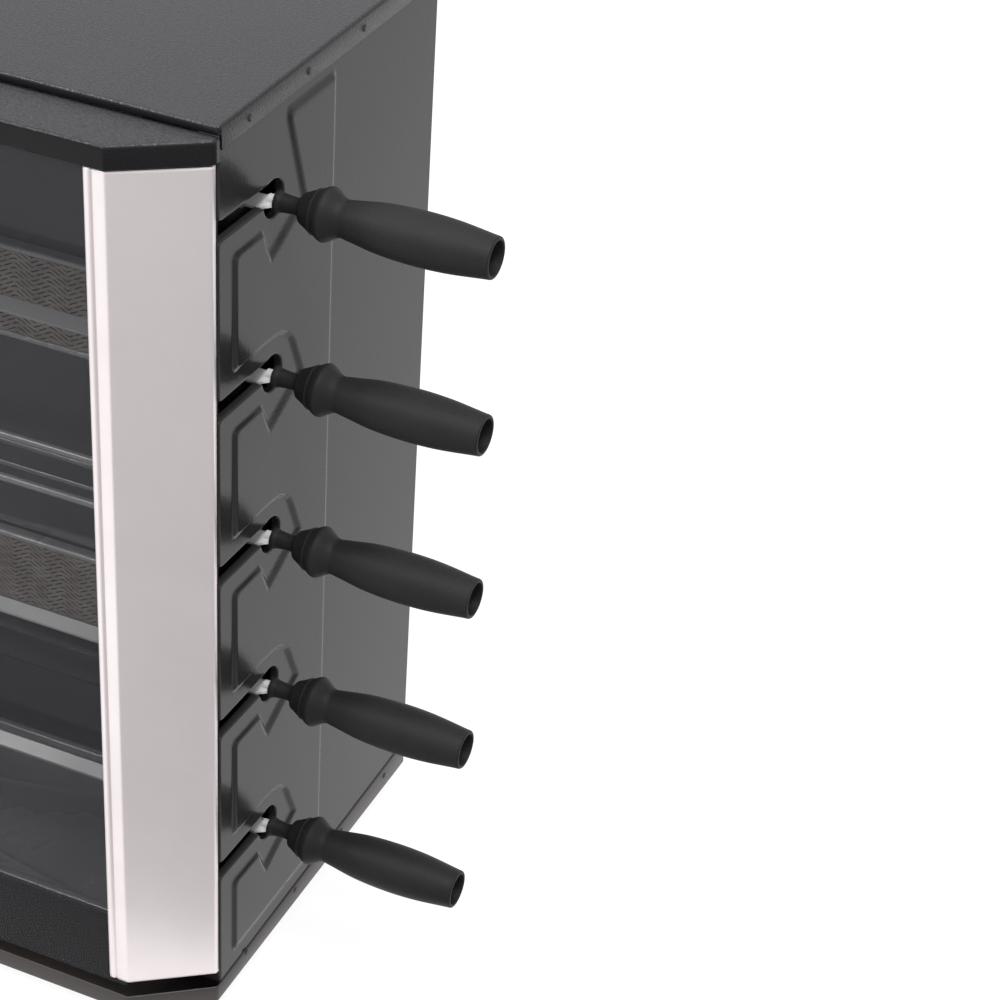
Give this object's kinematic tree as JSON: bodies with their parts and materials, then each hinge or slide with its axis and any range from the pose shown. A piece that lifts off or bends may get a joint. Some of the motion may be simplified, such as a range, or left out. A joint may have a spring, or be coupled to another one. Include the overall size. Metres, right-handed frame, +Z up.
{
  "type": "rotisserie oven",
  "caption": "Free-standing vertical rotisserie oven: a black sheet steel cabinet with a smoked glass door, geared skewers one above the other and infrared gas burners.",
  "frame": {"origin": "centre of the part's box at the level of the feet", "axes": "+X along the skewers towards their handles, +Y from the glass door to the back, +Z up"},
  "size_m": [0.798, 0.315, 0.637],
  "materials": {
    "black_paint": "satin, fine orange peel",
    "top_paint": "fine textured, semi-matt",
    "post_steel": "brushed across",
    "reflector_steel": "polished, heat tinted",
    "plain_steel": "plain",
    "skewer_chrome": "bright",
    "burner_steel": "heat darkened",
    "burner_tile": "ceramic, honeycomb",
    "burner_mesh": "oxidised expanded mesh",
    "door_glass": "smoked, polished",
    "handle_plastic": "textured",
    "knob_plastic": "moulded",
    "button_red": "moulded",
    "foot_rubber": "matt",
    "brass": "machined",
    "gas_pipe": "drawn",
    "gear_nylon": "moulded nylon",
    "ceramic_white": "glazed",
    "motor_steel": "zinc plated",
    "tray_steel": "enamelled, glossy",
    "rivet_steel": "black"
  },
  "bodies": {
    "cabinet": {"side_panel_right": "black_paint", "side_panel_left": "black_paint", "top_cover": "top_paint", "back_panel": "black_paint", "hood": "black_paint", "base_pan": "black_paint", "feet": "foot_rubber", "skewer_rail": "plain_steel", "rear_reflector": "reflector_steel", "lower_reflector": "reflector_steel", "burner_box_upper": "burner_steel", "burner_box_lower": "burner_steel", "burner_tile_upper": "burner_tile", "burner_tile_lower": "burner_tile", "burner_mesh_upper": "burner_mesh", "burner_mesh_lower": "burner_mesh", "burner_frame_upper": "burner_steel", "burner_frame_lower": "burner_steel", "gas_pipe_upper": "gas_pipe", "gas_pipe_lower": "gas_pipe", "gas_manifold": "gas_pipe", "gas_valves": "brass", "spark_electrodes": "ceramic_white", "igniter_body": "knob_plastic", "switch_body": "knob_plastic", "drive_plate": "plain_steel", "drive_housing": "black_paint", "motor": "motor_steel", "door_catch": "black_paint", "rivets": "rivet_steel", "cord_grommet": "foot_rubber"},
    "door": {"door_post_left": "post_steel", "door_post_right": "post_steel", "door_glass": "door_glass", "door_liners": "black_paint", "door_hinges": "plain_steel"},
    "drip_tray": {"drip_tray": "tray_steel"},
    "gas_knob_upper": {"gas_knob_upper": "knob_plastic"},
    "gas_knob_lower": {"gas_knob_lower": "knob_plastic"},
    "igniter_button": {"igniter_button": "button_red"},
    "switch_key": {"switch_key": "knob_plastic"},
    "spindle_1": {"spindle_gear_1": "gear_nylon"},
    "skewer_1": {"skewer_1": "skewer_chrome", "skewer_handle_1": "handle_plastic"},
    "spindle_2": {"spindle_gear_2": "gear_nylon"},
    "skewer_2": {"skewer_2": "skewer_chrome", "skewer_handle_2": "handle_plastic"},
    "spindle_3": {"spindle_gear_3": "gear_nylon"},
    "skewer_3": {"skewer_3": "skewer_chrome", "skewer_handle_3": "handle_plastic"},
    "spindle_4": {"spindle_gear_4": "gear_nylon"},
    "skewer_4": {"skewer_4": "skewer_chrome", "skewer_handle_4": "handle_plastic"},
    "spindle_5": {"spindle_gear_5": "gear_nylon"},
    "skewer_5": {"skewer_5": "skewer_chrome", "skewer_handle_5": "handle_plastic"},
    "idler_1": {"idler_gear_1": "gear_nylon"},
    "idler_2": {"idler_gear_2": "gear_nylon"},
    "idler_3": {"idler_gear_3": "gear_nylon"},
    "idler_4": {"idler_gear_4": "gear_nylon"}
  },
  "joints": [
    {"name": "door_swing", "type": "hinge", "parent": "cabinet", "child": "door", "pos_m": [-0.321, -0.1265, 0.3], "axis": [0, 0, -1], "range_deg": [0, 105]},
    {"name": "tray_lift", "type": "slide", "parent": "cabinet", "child": "drip_tray", "axis": [0, 0, 1], "range_m": [0, 0.02]},
    {"name": "knob_upper_turn", "type": "hinge", "parent": "cabinet", "child": "gas_knob_upper", "pos_m": [-0.373, -0.1175, 0.207], "axis": [0, -1, 0], "range_deg": [0, 180]},
    {"name": "knob_lower_turn", "type": "hinge", "parent": "cabinet", "child": "gas_knob_lower", "pos_m": [-0.373, -0.1175, 0.137], "axis": [0, -1, 0], "range_deg": [0, 180]},
    {"name": "igniter_press", "type": "slide", "parent": "cabinet", "child": "igniter_button", "axis": [0, 1, 0], "range_m": [0, 0.004], "stiffness_N_per_m": 400},
    {"name": "switch_rock", "type": "hinge", "parent": "cabinet", "child": "switch_key", "pos_m": [-0.373, -0.1075, 0.295], "axis": [-1, 0, 0], "range_deg": [0, 12]},
    {"name": "spindle_3_turn", "type": "hinge", "parent": "cabinet", "child": "spindle_3", "pos_m": [-0.337, -0.0555, 0.3395], "axis": [1, 0, 0], "continuous": true},
    {"name": "spindle_1_turn", "type": "hinge", "parent": "cabinet", "child": "spindle_1", "pos_m": [-0.337, -0.0555, 0.5665], "axis": [1, 0, 0], "continuous": true},
    {"name": "spindle_2_turn", "type": "hinge", "parent": "cabinet", "child": "spindle_2", "pos_m": [-0.337, -0.0555, 0.453], "axis": [1, 0, 0], "continuous": true},
    {"name": "spindle_4_turn", "type": "hinge", "parent": "cabinet", "child": "spindle_4", "pos_m": [-0.337, -0.0555, 0.226], "axis": [1, 0, 0], "continuous": true},
    {"name": "spindle_5_turn", "type": "hinge", "parent": "cabinet", "child": "spindle_5", "pos_m": [-0.337, -0.0555, 0.1125], "axis": [1, 0, 0], "continuous": true},
    {"name": "idler_1_turn", "type": "hinge", "parent": "cabinet", "child": "idler_1", "pos_m": [-0.337, -0.0555, 0.50975], "axis": [1, 0, 0], "continuous": true},
    {"name": "idler_2_turn", "type": "hinge", "parent": "cabinet", "child": "idler_2", "pos_m": [-0.337, -0.0555, 0.39625], "axis": [1, 0, 0], "continuous": true},
    {"name": "idler_3_turn", "type": "hinge", "parent": "cabinet", "child": "idler_3", "pos_m": [-0.337, -0.0555, 0.28275], "axis": [1, 0, 0], "continuous": true},
    {"name": "idler_4_turn", "type": "hinge", "parent": "cabinet", "child": "idler_4", "pos_m": [-0.337, -0.0555, 0.16925], "axis": [1, 0, 0], "continuous": true},
    {"name": "skewer_1_pull", "type": "slide", "parent": "spindle_1", "child": "skewer_1", "axis": [1, 0, 0], "range_m": [0, 0.022]},
    {"name": "skewer_2_pull", "type": "slide", "parent": "spindle_2", "child": "skewer_2", "axis": [1, 0, 0], "range_m": [0, 0.022]},
    {"name": "skewer_3_pull", "type": "slide", "parent": "spindle_3", "child": "skewer_3", "axis": [1, 0, 0], "range_m": [0, 0.022]},
    {"name": "skewer_4_pull", "type": "slide", "parent": "spindle_4", "child": "skewer_4", "axis": [1, 0, 0], "range_m": [0, 0.022]},
    {"name": "skewer_5_pull", "type": "slide", "parent": "spindle_5", "child": "skewer_5", "axis": [1, 0, 0], "range_m": [0, 0.022]}
  ],
  "couplings": [
    {"joint": "spindle_1_turn", "follows": "spindle_3_turn", "ratio": 1},
    {"joint": "spindle_2_turn", "follows": "spindle_3_turn", "ratio": 1},
    {"joint": "spindle_4_turn", "follows": "spindle_3_turn", "ratio": 1},
    {"joint": "spindle_5_turn", "follows": "spindle_3_turn", "ratio": 1},
    {"joint": "idler_1_turn", "follows": "spindle_3_turn", "ratio": -1},
    {"joint": "idler_2_turn", "follows": "spindle_3_turn", "ratio": -1},
    {"joint": "idler_3_turn", "follows": "spindle_3_turn", "ratio": -1},
    {"joint": "idler_4_turn", "follows": "spindle_3_turn", "ratio": -1}
  ]
}
